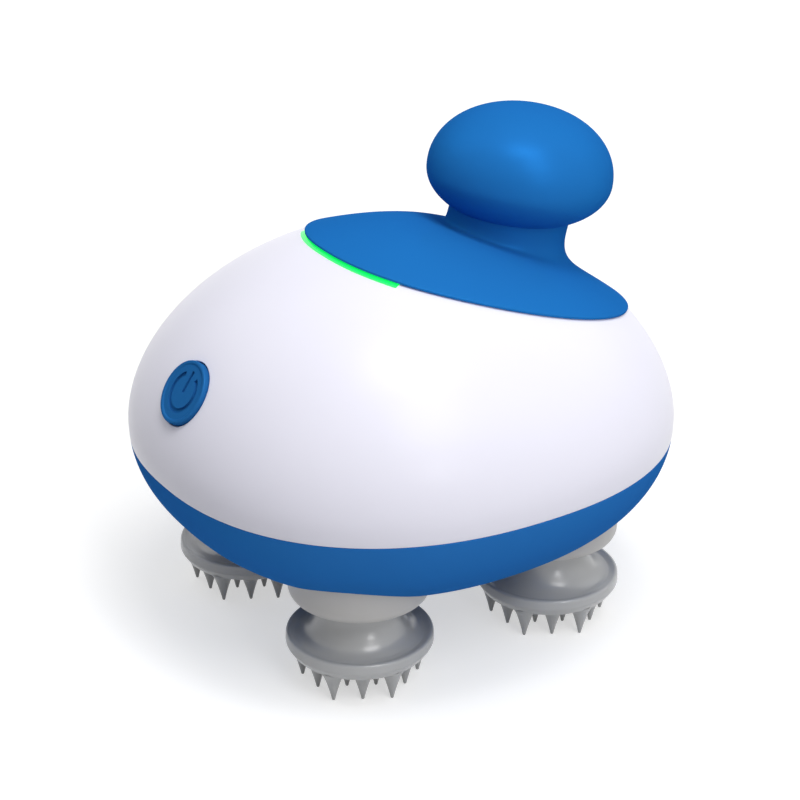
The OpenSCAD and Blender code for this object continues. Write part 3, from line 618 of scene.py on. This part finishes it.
rolled_rim = rounded([(0, PRONG_H, 0), (DISC_R - 1.1, PRONG_H, 0.8), (DISC_R + 0.2, 9.4, 1.2),
                      (DISC_R + 0.05, 11.95, 1.3), (DISH_R, DISH_Z, 0)], steps=9)
dish_and_flare = through([(DISH_R, DISH_Z), (13.5, 11.4), (12.4, 11.95), (11.4, 12.8),
                          (10.6, 13.85), (9.85, 15.1), (9.2, 16.6), (8.7, 18.6)], steps=5)
stem = [(STEM_R, 21), (STEM_R, 23.6), (STEM_R - 0.4, STEM_TOP), (STEM_BORE_R, STEM_TOP),
        (STEM_BORE_R, STEM_FLOOR), (0, STEM_FLOOR)]
disc_outline = rolled_rim[:-1] + dish_and_flare + stem
prong_outline = [(0, 0), (0.16, 0.01), (0.3, 0.1), (0.38, 0.3), (0.5, 0.9), (0.98, 2.8),
                 (1.4, 4.2), (1.78, 5.4), (2.2, 6.5), (PRONG_R, PRONG_H - 0.02),
                 (PRONG_R, PRONG_H + 0.4), (0, PRONG_H + 0.4)]
silicone = moulded("silicone", srgb(186, 187, 188), rough=0.24, mottle=0.02, grain=0.16,
                   grain_size=0.0004, patchy=0.05, specular=0.8)
for i, (x, y) in enumerate(heads):
    place = Matrix.Translation((x, y, 0)) @ Matrix.Rotation(HEAD_TURN, 4, "Z")
    head = lathe(f"silicone_head_{i + 1}", disc_outline, place, steps=160)
    shape = bmesh.new()
    shape.from_mesh(head.data)
    for row in range(-2, 3):
        for k in range(5 - abs(row)):
            prong_place = place @ Matrix.Translation((
                row * math.sqrt(3) / 2 * PRONG_PITCH, (k - 2 + abs(row) / 2) * PRONG_PITCH, 0))
            prong = lathe("prong", prong_outline, prong_place, steps=28)
            shape.from_mesh(prong.data)
            bpy.data.objects.remove(prong)
    shape.to_mesh(head.data)
    shape.free()
    smooth(head, 50)
    finish_piece(head, silicone, f"head_{i + 1}", "silicone_grey", f"massage_head_{i + 1}")

# ---------------------------------------------------------------- port plug
# A soft white silicone plug closes the charging port at the back. Its face follows
# the shell, with a nick at its lower edge for a fingernail, and a peg holds it.
# The plug's head and peg, with heights from the wall's inner face, and the nick
PLUG_R, PEG_R, PEG_BACK, PEG_CHAMFER = PORT_R - 0.1, 1.6, -2.4, 0.3
PEG_END, PLUG_DROP, NICK_R, CENTRE_R = -5, 0.07, 1, 0.01
PLUG_SIDES, NICK_ROWS = 72, 24
peg = [flat_ring(port_place, r, z - WALL, PLUG_SIDES) for r, z in (
    (CENTRE_R, PEG_END), (PEG_R - PEG_CHAMFER, PEG_END), (PEG_R, PEG_END + PEG_CHAMFER),
    (PEG_R, PEG_BACK), (PLUG_R, PEG_BACK))]
face = [skin_ring(port_place, r, drop, PLUG_SIDES) for r, drop in (
    (PLUG_R, 0.38), (PLUG_R - 0.03, 0.24), (PLUG_R - 0.11, 0.14), (PLUG_R - 0.25, 0.09),
    (PLUG_R - 0.5, PLUG_DROP), (2, PLUG_DROP), (1, PLUG_DROP), (CENTRE_R, PLUG_DROP))]
plug = ring_mesh("port_plug_cover", peg + face, cap_ends=True)
nick_place = port_place @ Matrix.Translation((PORT_R, 0, skin_height(port_place, PORT_R, 0)))
nick_angles = [math.pi * k / NICK_ROWS for k in range(NICK_ROWS + 1)]
cut(plug, lathe("nick", [(NICK_R * math.sin(a), -NICK_R * math.cos(a)) for a in nick_angles],
                nick_place, steps=48))
smooth(plug, 40)
soft_white = moulded("soft_white", srgb(226, 226, 232), rough=0.55, mottle=0.02, grain=0.2,
                     grain_size=0.0006)
finish_piece(plug, soft_white, "port_cover", "port_plug", "port_plug")

# ---------------------------------------------------------------- works inside
# The parts inside keep their own shapes: turned steel, brass, moulded gears, the
# cell in its wrap and the green boards. After each colour come its roughness,
# mottle, grain and size of grain.
works = {
    "steel": moulded("steel", (0.6, 0.6, 0.62, 1), 0.28, 0.05, 0.3, 0.0004, metal=1),
    "shaft_steel": moulded("ground_steel", (0.62, 0.62, 0.64, 1), 0.2, 0.04, 0.3, 0.0003, metal=1),
    "brass": moulded("brass", (0.7, 0.5, 0.22, 1), 0.3, 0.06, 0.3, 0.0004, metal=1),
    "motor_can": moulded("plated_can", (0.5, 0.5, 0.52, 1), 0.35, 0.05, 0.2, 0.0008, metal=1),
    "board_green": moulded("board_green", (0.02, 0.18, 0.06, 1), 0.4, 0.1, 0.4, 0.0009, coat=0.3),
    "led": moulded("lamp_green", (0.4, 0.9, 0.4, 1), 0.2, 0.03, 0.1, glow=0.5),
    "black_plastic": moulded("black_plastic", (0.02, 0.02, 0.022, 1), 0.5, 0.1, 0.4),
    "black_rubber": moulded("black_rubber", (0.02, 0.02, 0.02, 1), 0.75, 0.15, 0.6),
    "frame_plastic": moulded("frame_plastic", (0.7, 0.68, 0.6, 1), 0.5, 0.04, 0.3),
    "gear_white": moulded("acetal", (0.8, 0.8, 0.78, 1), 0.4, 0.03, 0.2),
    "cell_wrap": moulded("cell_wrap", (0.05, 0.2, 0.5, 1), 0.3, 0.06, 0.4, 0.002, coat=0.4),
    "carrier_plastic": moulded("carrier_plastic", (0.2, 0.2, 0.2, 1), 0.5, 0.06, 0.4),
}
for row in frame["record"]["subparts"]:
    if row["material_slot"] in works:
        node = frame["nodes"][row["node"]]
        node.data.materials.clear()
        node.data.materials.append(works[row["material_slot"]])

# ---------------------------------------------------------------- floor and light
# The massager stands on a plain white table under large soft lamps. To the eye the
# table grows whiter with distance and runs into the white room, and it is clear
# from below, so that the heads can be seen from there.
FLOOR_HALF, TABLE_GREY, NEAR_GLOW = 3, 0.62, 0.55
WHITEN_FROM, WHITEN_TO = 0.3, 1.3
floor_mesh = bpy.data.meshes.new("floor")
floor_mesh.from_pydata([(FLOOR_HALF * x, FLOOR_HALF * y, 0)
                        for x, y in ((-1, -1), (1, -1), (1, 1), (-1, 1))], [], [(0, 1, 2, 3)])
floor = bpy.data.objects.new("floor", floor_mesh)
scene.collection.objects.link(floor)


def calculate(tree, operation, first, second):
    """Math node with two values linked to it."""
    node = tree.nodes.new("ShaderNodeMath")
    node.operation = operation
    tree.links.new(first, node.inputs[0])
    tree.links.new(second, node.inputs[1])
    return node


def mixed(tree, share, first, second):
    """Mix of two shaders; a share of 1 gives the second."""
    node = tree.nodes.new("ShaderNodeMixShader")
    tree.links.new(share, node.inputs[0])
    tree.links.new(first.outputs[0], node.inputs[1])
    tree.links.new(second.outputs[0], node.inputs[2])
    return node.outputs[0]


def seen(tree):
    """1 for rays that show the background: camera, glossy and transmission rays."""
    path = tree.nodes.new("ShaderNodeLightPath")
    direct = calculate(tree, "ADD", path.outputs["Is Camera Ray"], path.outputs["Is Glossy Ray"])
    either = calculate(tree, "ADD", direct.outputs[0], path.outputs["Is Transmission Ray"])
    either.use_clamp = True
    return either.outputs[0]


paper = bpy.data.materials.new("white_table")
paper.use_nodes = True
paper_tree = paper.node_tree
paper_shader = paper_tree.nodes["Principled BSDF"]
paper_shader.inputs["Base Color"].default_value = (TABLE_GREY, TABLE_GREY, TABLE_GREY, 1)
paper_shader.inputs["Roughness"].default_value = 0.9
paper_shader.inputs["Specular IOR Level"].default_value = 0
paper_shader.inputs["Emission Color"].default_value = (1, 1, 1, 1)
spot = paper_tree.nodes.new("ShaderNodeTexCoord")
away = paper_tree.nodes.new("ShaderNodeVectorMath")
away.operation = "LENGTH"
paper_tree.links.new(spot.outputs["Object"], away.inputs[0])
whiten = paper_tree.nodes.new("ShaderNodeMapRange")
whiten.inputs["From Min"].default_value = WHITEN_FROM
whiten.inputs["From Max"].default_value = WHITEN_TO
whiten.inputs["To Min"].default_value = NEAR_GLOW
whiten.inputs["To Max"].default_value = 1
paper_tree.links.new(away.outputs["Value"], whiten.inputs["Value"])
lift = calculate(paper_tree, "MULTIPLY", seen(paper_tree), whiten.outputs["Result"])
paper_tree.links.new(lift.outputs[0], paper_shader.inputs["Emission Strength"])
side = paper_tree.nodes.new("ShaderNodeNewGeometry")
clear = paper_tree.nodes.new("ShaderNodeBsdfTransparent")
paper_tree.links.new(mixed(paper_tree, side.outputs["Backfacing"], paper_shader, clear),
                     paper_tree.nodes["Material Output"].inputs["Surface"])
floor_mesh.materials.append(paper)

world = bpy.data.worlds.new("room")
scene.world = world
world.use_nodes = True
world_tree = world.node_tree
ambient = world_tree.nodes["Background"]
ambient.inputs["Strength"].default_value = 0.15
ambient.inputs["Color"].default_value = (1, 1, 1, 1)
backdrop = world_tree.nodes.new("ShaderNodeBackground")
backdrop.inputs["Color"].default_value = (1, 1, 1, 1)
backdrop.inputs["Strength"].default_value = 1
world_tree.links.new(mixed(world_tree, seen(world_tree), ambient, backdrop),
                     world_tree.nodes["World Output"].inputs["Surface"])

AIM = Vector((0, 0, 0.06))
LAMP_AWAY = 0.95


def softbox(name, azimuth, height, size, power, mirrored=True):
    """Square lamp that faces the massager; azimuth and height are in degrees."""
    lamp = bpy.data.lights.new(name, "AREA")
    lamp.size, lamp.energy = size, power
    holder = bpy.data.objects.new(name, lamp)
    scene.collection.objects.link(holder)
    turn, up = math.radians(azimuth), math.radians(height)
    way = Vector((math.cos(up) * math.cos(turn), math.cos(up) * math.sin(turn), math.sin(up)))
    holder.location = AIM + LAMP_AWAY * way
    holder.rotation_mode = "QUATERNION"
    holder.rotation_quaternion = way.to_track_quat("Z", "Y")
    holder.visible_glossy = mirrored


softbox("high_left", -108, 79, 0.3, 1.9)
softbox("high_right", -77, 69, 0.25, 1.6)
softbox("mid_front", -92, 48, 0.4, 2.5)
softbox("low_front", -95, 22, 0.15, 0.68)
softbox("low_side", -55, 12, 1.3, 1.32)
softbox("above", 0, 88, 0.8, 1.3)
softbox("back_right", 0, 40, 0.6, 0.65)
softbox("back_left", 120, 45, 0.6, 1.25)
softbox("far_side", 60, 20, 0.9, 1.5, mirrored=False)
